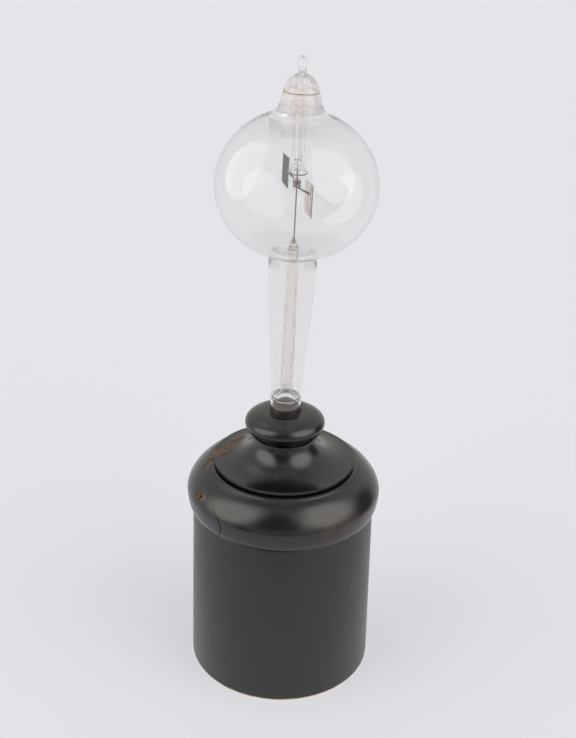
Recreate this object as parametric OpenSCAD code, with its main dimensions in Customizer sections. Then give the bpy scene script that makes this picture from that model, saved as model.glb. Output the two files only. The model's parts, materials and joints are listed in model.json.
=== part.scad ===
// Light mill: two vanes turning on a needle in a sealed glass bulb, on a turned wooden base.
// Millimetres, +Z up, origin at the centre of the base's foot ring.

/* [Wooden base] */
// Diameter of the drum at its foot
drum_d = 76; // [64:1:90]
// Diameter of the drum at its top edge
drum_top_d = 74; // [60:1:88]
// Height of the drum
drum_h = 73; // [50:1:110]
// Width of the ring that the drum stands on
foot_ring_w = 5; // [3:0.5:10]
// Depth of the dished underside
dish_h = 1; // [0.4:0.1:2]
// Largest diameter of the rounded moulding
moulding_d = 78.6; // [76:0.2:96]
// Height of the moulding
moulding_h = 18.9; // [14:0.1:26]
// Height of the moulding's widest line above the drum
moulding_widest_h = 8.1; // [5:0.1:10]
// Roundness of the moulding's shoulder, where 2 is a true quarter of an ellipse
moulding_round = 1.55; // [1.3:0.05:2.4]
// Width of the shoulder's flat outside the rim
shoulder_w = 0.4; // [0.2:0.1:1.5]
// Diameter of the pedestal's thin rim
rim_d = 57; // [48:0.5:66]
// Thickness of the pedestal's rim
rim_t = 1.2; // [0.6:0.1:2]
// Height of the shadow line under the rim
rim_gap_h = 0.9; // [0.4:0.1:1.6]
// How far the shadow line is cut in under the rim
rim_undercut = 1.4; // [0.5:0.1:3]
// Height of the pedestal
pedestal_h = 12.6; // [9:0.1:20]
// Diameter at the top of the pedestal's hollow curve
pedestal_top_d = 25; // [24:0.5:30]
// Diameter of the knob
knob_d = 32; // [28:0.5:44]
// Height of the knob above its groove
knob_h = 8.7; // [7:0.1:14]
// Height of the knob's widest line above the groove
knob_widest_h = 3.9; // [2:0.1:5]
// Diameter at the bottom of the groove under the knob
groove_d = 22; // [20:0.5:24]
// Height of the groove
groove_h = 1.8; // [1:0.1:3]
// Width of the flat under the knob, outside the groove
knob_flat_w = 1.5; // [0.5:0.1:2.5]
// Diameter of the knob's tenon
tenon_d = 15; // [13:0.5:18]
// Length of the knob's tenon
tenon_h = 9; // [5:0.5:12]
// Diameter of the moulding's tenon
moulding_tenon_d = 34; // [24:1:44]
// Length of the moulding's tenon
moulding_tenon_h = 9; // [5:0.5:14]
// Radial gap of a glued tenon
tenon_clear = 0.1; // [0.05:0.05:0.3]

/* [Glass envelope] */
// Lean of the glass in its socket, in degrees
glass_lean = 1.3; // [0:0.1:3]
// Outer diameter of the tube at the socket
tube_d = 12.2; // [10:0.2:14]
// Wall of the tube and the tail
tail_wall = 0.7; // [0.5:0.1:1.3]
// Depth of the tube's end below the top of the knob
tube_depth = 8; // [5:0.5:10]
// Straight length of the tube above the knob
tube_straight_h = 8.5; // [8:0.5:14]
// Length of the tail from the knob to the bulb
tail_h = 65.9; // [50:0.1:90]
// Outer diameter of the tail below its flare
tail_top_d = 18; // [14:0.5:24]
// Outer diameter where the tail joins the bulb
tail_joint_d = 18.6; // [17:0.2:26]
// Diameter of the bulb
bulb_d = 60.4; // [50:0.5:72]
// Height of the bulb as a whole spheroid
bulb_h = 55.3; // [46:0.5:68]
// Wall of the bulb
bulb_wall = 0.7; // [0.5:0.1:1.2]
// Outer diameter where the neck joins the bulb
neck_joint_d = 21; // [19:0.5:26]
// Outer diameter of the neck at its top
neck_top_d = 13.2; // [12.8:0.1:17]
// Height of the neck
neck_h = 7.7; // [5:0.1:12]
// Wall of the neck
neck_wall = 0.8; // [0.6:0.1:1.4]
// Height of the amber weld ring
weld_h = 0.8; // [0.4:0.1:1.4]
// How far the weld ring stands out from the crown
weld_proud = 0.2; // [0.1:0.1:0.6]
// Outer diameter of the crown at the weld
crown_d = 12.5; // [11.5:0.1:13.6]
// Height of the crown
crown_h = 5.7; // [4.5:0.1:9]
// Wall of the crown
crown_wall = 0.7; // [0.5:0.1:1.2]
// Outer diameter of the seal pip
pip_d = 3.2; // [2.6:0.1:4]
// Height of the seal pip
pip_h = 6.2; // [5:0.1:9]
// Height of the pip's drawn-in top
pip_dome_h = 2.8; // [2:0.1:3.4]
// Bore of the seal pip
pip_bore_d = 2; // [1:0.1:2.2]
// Outer diameter of the pinch under the pip
pinch_d = 2.9; // [1.9:0.1:3.2]
// Bore of the pinch under the pip
pinch_bore_d = 0.8; // [0.4:0.1:1.2]
// Height of the pinch
pinch_h = 0.3; // [0.2:0.1:0.6]
// Height at which the pip reaches its full width
pip_swell_h = 1.2; // [0.8:0.1:1.8]
// Width of the flat that the pip stands on, outside the pinch
pip_land_w = 0.2; // [0.1:0.1:0.4]
// Width of the flat inside the crown, outside the guide tube
guide_land_w = 0.3; // [0.1:0.1:0.6]

/* [Guide tube] */
// Outer diameter of the guide tube
guide_d = 4.5; // [4.2:0.1:6]
// Wall of the guide tube round the pivot cap
guide_wall = 0.5; // [0.3:0.05:0.7]
// Narrow bore of the guide tube, from the crown down to the pivot cap
guide_bore_d = 1.3; // [0.8:0.1:2.2]
// Height of the space for the pivot cap above the bell's rim
guide_space_h = 5.4; // [5.2:0.1:8]
// Outer diameter of its bell mouth
bell_d = 7.4; // [6.5:0.1:10]
// Height of the bell mouth
bell_h = 3; // [2:0.1:5]
// Height of the bell's rim above the bulb's centre
bell_rim_z = 4.6; // [4:0.1:9]

/* [Support stem] */
// Outer diameter of the stem
stem_d = 5; // [4.2:0.1:6]
// Outer diameter of the stem at its top
stem_top_d = 3.8; // [3:0.1:4.2]
// Wall of the stem
stem_wall = 0.6; // [0.4:0.1:0.8]
// Height of the foot's rim above the knob
stem_foot_z = 5.4; // [4.5:0.1:5.5]
// Height of the flared foot
stem_foot_h = 5; // [3:0.1:8]
// Height of the foot's sealed edge
foot_seal_h = 0.9; // [0.5:0.1:1.5]
// Height of the stem's top above the bottom of the bulb
stem_top_z = 3; // [1:0.5:8]
// Height of the drawn-in tip that holds the needle
tip_h = 5; // [3.5:0.1:8]
// Diameter of the tip's rounded end
tip_d = 1.6; // [1.2:0.1:2]
// Diameter of the two glass nubs on the stem
nub_d = 1.3; // [0.8:0.1:1.8]
// Depth of the upper nub below the top of the stem
nub_z = 6; // [4:0.5:10]
// Distance between the two nubs
nub_step = 4.4; // [3:0.2:8]
// Distance of a nub's centre outside the stem's surface
nub_proud = 0.2; // [0:0.05:0.4]

/* [Needle and rotor] */
// Diameter of the needle
needle_d = 0.5; // [0.3:0.05:0.8]
// Length of the needle's point
needle_point_h = 3; // [1.5:0.1:5]
// Depth of the needle in the stem's tip
needle_seat_h = 3; // [2:0.1:3.4]
// Gap between the needle's point and the pivot cap
pivot_clear = 0.05; // [0.02:0.01:0.1]
// Outer diameter of the glass pivot cap
cap_d = 2.4; // [2.2:0.05:2.7]
// Wall of the pivot cap
cap_wall = 0.4; // [0.25:0.05:0.5]
// Length of the cap below the near arm
cap_skirt_h = 0.3; // [0.1:0.1:1.5]
// Height of the pivot cap's top above the bulb's centre
cap_top_z = 8.6; // [8:0.1:10]
// Height of the far arm above the bulb's centre
far_arm_z = 1.7; // [1.2:0.1:2.5]
// Height of the near arm below the bulb's centre
near_arm_z = 0.8; // [0.6:0.1:1.3]
// Diameter of the arm wire
wire_d = 0.5; // [0.3:0.05:0.7]
// Thickness of the band between the two wire loops
band_t = 0.25; // [0.1:0.05:0.5]
// Direction of the arms, in degrees from the side axis
arm_turn = -72; // [-180:1:180]
// Distance from the axis to a vane's inner edge
vane_in_r = 10; // [7:0.5:12]
// Radial width of a vane, with its folded edge
vane_w = 8.8; // [6:0.1:11]
// Height of a vane
vane_h = 11.8; // [8:0.1:14]
// Thickness of a vane's foil
vane_t = 0.2; // [0.1:0.05:0.4]
// Width of the vane's folded outer edge
fold_w = 1.6; // [0.8:0.1:2.5]
// Angle of the folded edge, in degrees
fold_turn = 15; // [5:1:45]
// Length of arm wire that lies on the vane
wire_lap = 5; // [3:0.1:6]
// Rise of the far vane's worn lower corner
far_corner_h = 0.9; // [0.2:0.1:4]
// Rise of the near vane's worn lower corner
near_corner_h = 0.2; // [0.2:0.1:2]
// Thickness of the lamp-black coat
coat_t = 0.08; // [0.05:0.01:0.15]

/* [Cement] */
// Radial gap between the tube and the socket, filled with cement
socket_gap = 0.5; // [0.5:0.1:1.2]
// Depth of the socket below the tube's end
socket_spare_h = 0.8; // [0.4:0.1:1.5]
// Height of the cement inside the tube, above the knob
cement_in_h = 2.4; // [1:0.1:3.5]
// Height of the cement's collar above the knob
cement_out_h = 0.2; // [0.1:0.1:1]
// Width of the collar at its top
collar_w = 0.1; // [0.1:0.1:0.5]

/* [Hidden] */
$fn = 96;
curve_steps = 16;
bulb_steps = 36;
wire_sides = 24;
eps = 0.01;

// Shapes of the blown curves: how late the tail widens, how sharply it flares at the bulb,
// how much of the neck is a plain cone, how sharply it flares, and how full the crown and bell are
tail_late = 1.5;
tail_flare = 12;
neck_cone = 0.52;
neck_flare = 5;
crown_round = 1.65;
bell_round = 1.6;

ebony = [0.10, 0.10, 0.10];
amber = [0.55, 0.36, 0.12];
clear_glass = [0.86, 0.88, 0.88, 0.35];
wax_brown = [0.30, 0.20, 0.14];
foil_grey = [0.70, 0.68, 0.68];
soot = [0.13, 0.13, 0.13];
steel = [0.25, 0.26, 0.28];
wire_brown = [0.42, 0.36, 0.26];

// Heights of the base's seats
moulding_z = drum_h;
pedestal_z = moulding_z + moulding_h;
groove_z = pedestal_z + pedestal_h;
knob_z = groove_z + groove_h;
seat_z = knob_z + knob_h;

// Places in the glass, measured up the leaning axis from the top of the knob
tube_r = tube_d / 2;
bore_r = tube_r - tail_wall;
bulb_r = bulb_d / 2;
bulb_c = bulb_h / 2;
low_turn = -acos(tail_joint_d / bulb_d);
high_turn = acos(neck_joint_d / bulb_d);
bulb_z = tail_h - bulb_c * sin(low_turn);
neck_z = bulb_z + bulb_c * sin(high_turn);
weld_z = neck_z + neck_h;
crown_z = weld_z + weld_h;
pip_z = crown_z + crown_h;
crown_seat_z = crown_h - crown_wall;
stem_top = bulb_z - bulb_c + stem_top_z;
needle_z = stem_top + tip_h - needle_seat_h;
cap_top = bulb_z + cap_top_z;
cap_r = cap_d / 2;
socket_r = tube_r + socket_gap;
wire_r = wire_d / 2;
vane_flat_w = vane_w - fold_w * cos(fold_turn);

// Points of the bulb's walls at an angle round the spheroid
function bulb_out(a) = [bulb_r * cos(a), bulb_z + bulb_c * sin(a)];
function bulb_in(a) = [(bulb_r - bulb_wall) * cos(a), bulb_z + (bulb_c - bulb_wall) * sin(a)];

// Quarter of an ellipse from [r0, z0] to [r1, z1], upright at its start and flat at its end;
// power 2 is a true ellipse, and less than 2 is flatter
function quarter(r0, z0, r1, z1, power = 2, steps = curve_steps) =
    [for (i = [0:steps]) let (a = 90 * i / steps)
        [r1 + (r0 - r1) * pow(cos(a), 2 / power), z0 + (z1 - z0) * pow(sin(a), 2 / power)]];

function reversed(points) = [for (i = [len(points) - 1:-1:0]) points[i]];

// Radius of the tail's outside, for t from 0 at the straight tube to 1 at the bulb
function tail_r(t) = tube_r + (tail_top_d / 2 - tube_r) * pow(sin(90 * t), tail_late)
                     + (tail_joint_d - tail_top_d) / 2 * pow(t, tail_flare);
function tail_at(t) = tube_straight_h + (tail_h - tube_straight_h) * t;

// Radius of the neck's outside, for t from 0 at the bulb to 1 at the weld
function neck_r(t) = neck_top_d / 2 + (neck_joint_d - neck_top_d) / 2
                     * (neck_cone * (1 - t) + (1 - neck_cone) * pow(1 - t, neck_flare));

// Radius of the stem's outside, for t from 0 above its foot to 1 at its top
function stem_r(t) = stem_d / 2 + (stem_top_d - stem_d) / 2 * pow(t, 2);
stem_low_z = stem_foot_z + stem_foot_h;
function stem_at(t) = stem_low_z + (stem_top - stem_low_z) * t;

// Stands its children on the knob's top and leans them to the side
module leaning() {
    translate([0, 0, seat_z]) rotate([0, glass_lean, 0]) children();
}

// Turns an outline of [radius, height] points round the axis
module turned(points) {
    rotate_extrude() polygon(points);
}

module base_drum() {
    foot_r = drum_d / 2;
    color(ebony)
    difference() {
        cylinder(h = drum_h, r1 = foot_r, r2 = drum_top_d / 2);
        translate([0, 0, -eps]) cylinder(h = dish_h + eps, r = foot_r - foot_ring_w);
        translate([0, 0, drum_h - moulding_tenon_h - tenon_clear])
            cylinder(h = moulding_tenon_h + tenon_clear + eps, d = moulding_tenon_d + 2 * tenon_clear);
    }
}

module base_moulding() {
    widest_z = moulding_z + moulding_widest_h;
    widest_r = moulding_d / 2;
    top_r = rim_d / 2 + shoulder_w;
    color(ebony)
    union() {
        difference() {
            turned(concat([[0, moulding_z]],
                          reversed(quarter(widest_r, widest_z, drum_top_d / 2, moulding_z)),
                          quarter(widest_r, widest_z, top_r, pedestal_z, moulding_round),
                          [[0, pedestal_z]]));
            translate([0, 0, groove_z - tenon_h - tenon_clear])
                cylinder(h = tenon_h + tenon_clear, d = tenon_d + 2 * tenon_clear);
        }
        translate([0, 0, moulding_z - moulding_tenon_h])
            cylinder(h = moulding_tenon_h + eps, d = moulding_tenon_d);
    }
}

module pedestal() {
    rim_z = pedestal_z + rim_gap_h;
    rim_r = rim_d / 2;
    color(ebony)
    difference() {
        turned(concat([[0, pedestal_z], [rim_r - rim_undercut, pedestal_z], [rim_r - rim_undercut, rim_z]],
                      [[rim_r, rim_z]],
                      reversed(quarter(pedestal_top_d / 2, groove_z, rim_r, rim_z + rim_t)),
                      [[0, groove_z]]));
        translate([0, 0, groove_z - tenon_h - tenon_clear])
            cylinder(h = tenon_h + tenon_clear + eps, d = tenon_d + 2 * tenon_clear);
    }
}

module socket_knob() {
    widest_z = knob_z + knob_widest_h;
    color(ebony)
    difference() {
        union() {
            translate([0, 0, groove_z - tenon_h]) cylinder(h = tenon_h + eps, d = tenon_d);
            turned(concat([[0, groove_z], [groove_d / 2, groove_z], [groove_d / 2, knob_z]],
                          reversed(quarter(knob_d / 2, widest_z, groove_d / 2 + knob_flat_w, knob_z)),
                          quarter(knob_d / 2, widest_z, socket_r, seat_z),
                          [[0, seat_z]]));
        }
        translate([0, 0, seat_z - tube_depth - socket_spare_h])
            cylinder(h = tube_depth + socket_spare_h + eps, r = socket_r);
    }
}

// The wall of the straight tube, as the cement is cast against it
module tube_wall() {
    translate([0, 0, -tube_depth])
    difference() {
        cylinder(h = tube_depth + tube_straight_h, r = tube_r);
        translate([0, 0, -eps]) cylinder(h = tube_depth + tube_straight_h + 2 * eps, r = bore_r);
    }
}

module cement() {
    color(wax_brown)
    difference() {
        union() {
            translate([0, 0, seat_z - tube_depth - socket_spare_h])
                cylinder(h = tube_depth + socket_spare_h, r = socket_r);
            translate([0, 0, seat_z - eps])
                cylinder(h = cement_out_h + eps, r1 = socket_r, r2 = tube_r + collar_w);
            leaning() translate([0, 0, -tube_depth / 2])
                cylinder(h = cement_in_h + tube_depth / 2, r = bore_r);
        }
        leaning() tube_wall();
    }
}

module tail_tube() {
    inner_top = bulb_in(low_turn);
    color(clear_glass)
    leaning()
    turned(concat([[bore_r, -tube_depth], [tube_r, -tube_depth]],
                  [for (i = [0:curve_steps]) let (t = i / curve_steps) [tail_r(t), tail_at(t)]],
                  [inner_top],
                  [for (i = [curve_steps - 1:-1:0]) let (t = i / curve_steps)
                      [tail_r(t) - tail_wall, tail_at(t)]]));
}

module bulb() {
    turns = [for (i = [0:bulb_steps]) low_turn + (high_turn - low_turn) * i / bulb_steps];
    color(clear_glass)
    leaning()
    turned(concat([for (a = turns) bulb_out(a)], [for (a = reversed(turns)) bulb_in(a)]));
}

module neck() {
    weld_in_r = crown_d / 2 - crown_wall;
    color(clear_glass)
    leaning()
    turned(concat([for (i = [0:curve_steps]) let (t = i / curve_steps) [neck_r(t), neck_z + neck_h * t]],
                  [[weld_in_r, weld_z]],
                  [for (i = [curve_steps - 2:-1:1]) let (t = i / curve_steps)
                      [neck_r(t) - neck_wall, neck_z + neck_h * t]],
                  [bulb_in(high_turn)]));
}

module weld_ring() {
    ring_r = crown_d / 2 + weld_proud;
    inner_r = crown_d / 2 - crown_wall;
    middle_z = weld_z + weld_h / 2;
    color(amber)
    leaning()
    turned(concat([[inner_r, weld_z]],
                  reversed(quarter(ring_r, middle_z, ring_r - weld_proud, weld_z)),
                  quarter(ring_r, middle_z, ring_r - weld_proud, crown_z),
                  [[inner_r, crown_z]]));
}

module crown() {
    top_r = pinch_d / 2 + pip_land_w;
    outer_r = crown_d / 2;
    color(clear_glass)
    leaning()
    translate([0, 0, crown_z])
    turned(concat(quarter(outer_r, 0, top_r, crown_h, crown_round), [[pinch_bore_d / 2, crown_h]],
                  [[pinch_bore_d / 2, crown_seat_z], [guide_d / 2, crown_seat_z]],
                  reversed(quarter(outer_r - crown_wall, 0, guide_d / 2 + guide_land_w, crown_seat_z,
                                   crown_round))));
}

module seal_pip() {
    pip_r = pip_d / 2;
    pip_in_r = pip_bore_d / 2;
    pip_wall = pip_r - pip_in_r;
    dome_z = pip_h - pip_dome_h;
    color(clear_glass)
    leaning()
    translate([0, 0, pip_z])
    turned(concat([[pinch_bore_d / 2, 0], [pinch_d / 2, 0], [pinch_d / 2, pinch_h], [pip_r, pip_swell_h]],
                  quarter(pip_r, dome_z, 0, pip_h),
                  reversed(quarter(pip_in_r, dome_z, 0, pip_h - pip_wall)),
                  [[pip_in_r, pip_swell_h], [pinch_bore_d / 2, pinch_h]]));
}

module guide_tube() {
    rim_z = bulb_z + bell_rim_z;
    top_z = crown_z + crown_seat_z;
    space_top = rim_z + guide_space_h;
    guide_r = guide_d / 2;
    space_r = guide_r - guide_wall;
    bell_r = bell_d / 2;
    color(clear_glass)
    leaning()
    turned(concat(reversed(quarter(guide_r, rim_z + bell_h, bell_r, rim_z + guide_wall, bell_round)),
                  [[guide_r, top_z], [guide_bore_d / 2, top_z]],
                  reversed(quarter(space_r, space_top - space_r, guide_bore_d / 2, space_top)),
                  quarter(space_r, rim_z + bell_h, bell_r - guide_wall / 2, rim_z, bell_round)));
}

// The stem's outside, from the sealed edge of its foot to its top
stem_outside = concat([[bore_r, stem_foot_z]],
                      reversed(quarter(stem_d / 2, stem_low_z, bore_r, stem_foot_z + foot_seal_h)),
                      [for (i = [1:curve_steps]) let (t = i / curve_steps) [stem_r(t), stem_at(t)]]);

module stem_tube() {
    color(clear_glass)
    leaning()
    turned(concat(stem_outside,
                  [for (i = [curve_steps:-1:1]) let (t = i / curve_steps)
                      [stem_r(t) - stem_wall, stem_at(t)]],
                  quarter(stem_d / 2 - stem_wall, stem_low_z, bore_r - stem_wall, stem_foot_z)));
}

module stem_nubs() {
    color(clear_glass)
    leaning()
    difference() {
        for (z = [stem_top - nub_z, stem_top - nub_z - nub_step])
            translate([stem_r((z - stem_low_z) / (stem_top - stem_low_z)) + nub_proud, 0, z])
                sphere(d = nub_d);
        turned(concat([[0, stem_foot_z]], stem_outside, [[0, stem_top]]));
    }
}

module stem_tip() {
    tip_r = tip_d / 2;
    base_r = stem_top_d / 2;
    neck_top = tip_h - tip_r;
    color(clear_glass)
    leaning()
    translate([0, 0, stem_top])
    difference() {
        turned(concat([[0, 0], [base_r, 0]],
                      [for (i = [1:curve_steps]) let (t = i / curve_steps)
                          [base_r + (tip_r - base_r) * (1 - cos(180 * t)) / 2, neck_top * t]],
                      quarter(tip_r, neck_top, 0, tip_h)));
        translate([0, 0, tip_h - needle_seat_h]) cylinder(h = needle_seat_h + eps, d = needle_d);
    }
}

module needle() {
    top_z = cap_top - cap_wall - pivot_clear;
    color(steel)
    leaning()
    turned([[0, needle_z], [needle_d / 2, needle_z], [needle_d / 2, top_z - needle_point_h], [0, top_z]]);
}

module pivot_cap() {
    inner_r = cap_r - cap_wall;
    low_z = bulb_z - near_arm_z - wire_r - cap_skirt_h;
    color(clear_glass)
    leaning()
    turned(concat([[inner_r, low_z], [cap_r, low_z]],
                  quarter(cap_r, cap_top - cap_r, 0, cap_top),
                  reversed(quarter(inner_r, cap_top - cap_wall - 2 * inner_r, 0, cap_top - cap_wall))));
}

module hub_band() {
    low_z = bulb_z - near_arm_z + wire_r;
    high_z = bulb_z + far_arm_z - wire_r;
    color(wire_brown)
    leaning()
    translate([0, 0, low_z])
    difference() {
        cylinder(h = high_z - low_z, r = cap_r + band_t);
        translate([0, 0, -eps]) cylinder(h = high_z - low_z + 2 * eps, r = cap_r);
    }
}

// Places a vane's own axes: its arm runs out along +X at height z, and its foil stands in the XZ plane
module on_arm(turn, z) {
    leaning() rotate([0, 0, turn]) translate([0, 0, bulb_z + z]) children();
}

// A loop round the cap, and a straight wire that runs out along the face of the foil
module arm() {
    loop_r = cap_r + wire_r;
    rotate_extrude() translate([loop_r, 0]) circle(r = wire_r, $fn = wire_sides);
    translate([loop_r, -vane_t / 2 - wire_r, 0]) rotate([0, 90, 0])
        cylinder(h = vane_in_r + wire_lap - loop_r, r = wire_r, $fn = wire_sides);
}

// A sheet of the vane's outline seen from above: flat, then folded back at its outer edge.
// It lies from offset y0 to offset y1 off the foil's middle.
module folded_sheet(y0, y1, corner_h) {
    outer = vane_in_r + vane_flat_w;
    skew = tan(fold_turn / 2);
    end = [outer, 0] + fold_w * [cos(fold_turn), -sin(fold_turn)];
    side = [sin(fold_turn), cos(fold_turn)];
    difference() {
        translate([0, 0, -vane_h / 2])
        linear_extrude(height = vane_h)
            polygon([[vane_in_r, y0], [outer + y0 * skew, y0], end + side * y0,
                     end + side * y1, [outer + y1 * skew, y1], [vane_in_r, y1]]);
        translate([vane_in_r, 0, -vane_h / 2]) rotate([0, -atan(corner_h / vane_w), 0])
            translate([-vane_w / 2, -vane_w, -2 * vane_h]) cube([3 * vane_w, 2 * vane_w, 2 * vane_h]);
    }
}

module foil(corner_h) { folded_sheet(-vane_t / 2, vane_t / 2, corner_h); }
module coat(corner_h) { folded_sheet(vane_t / 2, vane_t / 2 + coat_t, corner_h); }

module near_arm() { color(wire_brown) on_arm(arm_turn, -near_arm_z) arm(); }
module far_arm() { color(wire_brown) on_arm(arm_turn + 180, far_arm_z) arm(); }
module near_vane() { color(foil_grey) on_arm(arm_turn, -near_arm_z) foil(near_corner_h); }
module far_vane() { color(foil_grey) on_arm(arm_turn + 180, far_arm_z) foil(far_corner_h); }
module near_coat() { color(soot) on_arm(arm_turn, -near_arm_z) coat(near_corner_h); }
module far_coat() { color(soot) on_arm(arm_turn + 180, far_arm_z) coat(far_corner_h); }

base_drum();
base_moulding();
pedestal();
socket_knob();
cement();
tail_tube();
bulb();
neck();
weld_ring();
crown();
seal_pip();
guide_tube();
stem_tube();
stem_nubs();
stem_tip();
needle();
pivot_cap();
hub_band();
near_arm();
far_arm();
near_vane();
far_vane();
near_coat();
far_coat();
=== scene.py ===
"""Dresses a light mill: glass bulb with a turning pair of vanes, standing in a turned wooden base."""

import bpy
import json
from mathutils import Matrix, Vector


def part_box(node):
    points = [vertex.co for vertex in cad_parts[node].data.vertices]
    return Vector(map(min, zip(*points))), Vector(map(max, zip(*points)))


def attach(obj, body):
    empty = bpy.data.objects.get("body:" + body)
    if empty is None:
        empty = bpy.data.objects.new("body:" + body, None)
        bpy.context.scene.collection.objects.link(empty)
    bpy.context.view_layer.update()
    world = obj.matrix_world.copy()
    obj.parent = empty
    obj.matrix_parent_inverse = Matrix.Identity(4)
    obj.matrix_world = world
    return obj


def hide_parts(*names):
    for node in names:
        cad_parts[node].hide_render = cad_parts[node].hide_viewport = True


bl_info = {
    "name": "Light Mill",
    "version": (1, 0, 0),
    "blender": (4, 5, 0),
    "location": "3D View > Sidebar > Light Mill",
    "description": "Turned wood, blown glass, wire, foil and soot for the packed light mill",
    "category": "Object",
}

import json
import math
from functools import partial

import bmesh
import bpy
from bpy.props import FloatProperty, IntProperty, PointerProperty, StringProperty
from mathutils import Matrix, Vector, noise
from mathutils.bvhtree import BVHTree

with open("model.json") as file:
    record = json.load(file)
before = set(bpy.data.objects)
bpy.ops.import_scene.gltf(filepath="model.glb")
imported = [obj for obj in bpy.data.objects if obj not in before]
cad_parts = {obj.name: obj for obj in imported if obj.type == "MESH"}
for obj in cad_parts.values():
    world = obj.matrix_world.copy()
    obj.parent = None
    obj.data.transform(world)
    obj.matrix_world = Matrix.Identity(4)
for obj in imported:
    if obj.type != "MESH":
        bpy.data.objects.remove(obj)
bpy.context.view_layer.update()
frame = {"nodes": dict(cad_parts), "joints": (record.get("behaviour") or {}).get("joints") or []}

MM = 0.001
SPIN_JOINT = frame["joints"][0]
KNOB_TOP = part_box("socket_knob")[1].z
LEAN = math.atan2(SPIN_JOINT["axis"][0], SPIN_JOINT["axis"][2])
SHARP_EDGE = math.radians(35)
SAME_SPOT = 0.0005 * MM
WOOD_STEPS = 256
# Powers of the rounded outlines, where 2 is an ellipse
CROWN_POWER, PIP_POWER, BELL_POWER = 1.65, 2.3, 1.6
SWEEP_CORNERS = [(-0.28, -0.24), (0.2, -0.24), (1.05, 3.2), (-1.3, 3.2), (-0.6, -0.5)]
LEANING = Matrix.Translation((0, 0, KNOB_TOP)) @ Matrix.Rotation(LEAN, 4, "Y")


def length(name, description, millimetres):
    """A length setting whose default is given in millimetres."""
    return FloatProperty(name=name, description=description, default=millimetres * MM,
                         min=0.0, precision=5, unit="LENGTH", subtype="DISTANCE")


def angle(name, description, degrees):
    """An angle setting whose default is given in degrees."""
    return FloatProperty(name=name, description=description, default=math.radians(degrees), subtype="ANGLE")


def level(name, description, value):
    """A setting for a plain share or brightness."""
    return FloatProperty(name=name, description=description, default=value)


def colour(name, description, hex_code):
    """A colour setting whose default is given as an sRGB hex value."""
    return StringProperty(name=name, description=description, default=hex_code)


class WoodSettings(bpy.types.PropertyGroup):
    """Sizes and colours of the turned base"""

    drum_top_d: length("Drum top", "Diameter of the drum at its top edge", 74)
    drum_edge_r: length("Drum's edges", "Radius of the drum's rounded edges", 0.6)
    foot_ring_w: length("Foot ring", "Width of the ring that the drum stands on", 5)
    dish_h: length("Dish", "Depth of the dished underside", 1)
    moulding_h: length("Moulding height", "Height of the rounded moulding", 18.9)
    widest_h: length("Widest line", "Height of the moulding's widest line above the drum", 8.1)
    shoulder_w: length("Shoulder", "Width of the shoulder's flat outside the rim", 0.4)
    rim_d: length("Rim", "Diameter of the pedestal's thin rim", 57)
    rim_t: length("Rim thickness", "Thickness of the pedestal's rim", 1.2)
    rim_gap_h: length("Rim gap", "Height of the shadow line under the rim", 0.9)
    rim_undercut: length("Rim undercut", "How far the shadow line is cut in", 1.4)
    rim_tilt: length("Rim's tilt", "How far the rim is raised at its left and lowered at its right", 0.15)
    pedestal_top_d: length("Pedestal top", "Diameter at the top of the hollow curve", 25)
    knob_widest_h: length("Knob widest line", "Height of the knob's widest line", 3.9)
    groove_d: length("Groove", "Diameter at the bottom of the groove", 22)
    groove_h: length("Groove height", "Height of the groove", 1.8)
    knob_flat_w: length("Knob flat", "Width of the flat under the knob", 1.5)
    socket_d: length("Socket", "Diameter of the socket in the knob", 13.2)
    socket_depth: length("Socket depth", "Depth of the socket", 8.8)
    seam_lift: length("Seam", "Most that the moulding's lower edge stands off the drum at its left", 0.35)
    score_r: length("Scored ring", "Radius of the fine ring scored on the moulding's shoulder", 30.4)
    score_w: length("Score width", "Width of the scored ring", 0.6)
    score_h: length("Score depth", "Depth of the scored ring", 0.25)
    worn_foot_h: length("Worn foot", "Height of the foot's edge from which the stain is gone", 0.6)
    stain: colour("Stain", "Black of the ebonised wood", "#0C0B0B")
    bare: colour("Bare wood", "Brown of the wood under the stain", "#7E6656")
    rubbed: colour("Rubbed wood", "Reddish brown where the polish is rubbed", "#4A2C22")
    foot_edge: colour("Worn foot", "Pale wood along the foot's worn edge", "#E2D8B4")


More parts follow.
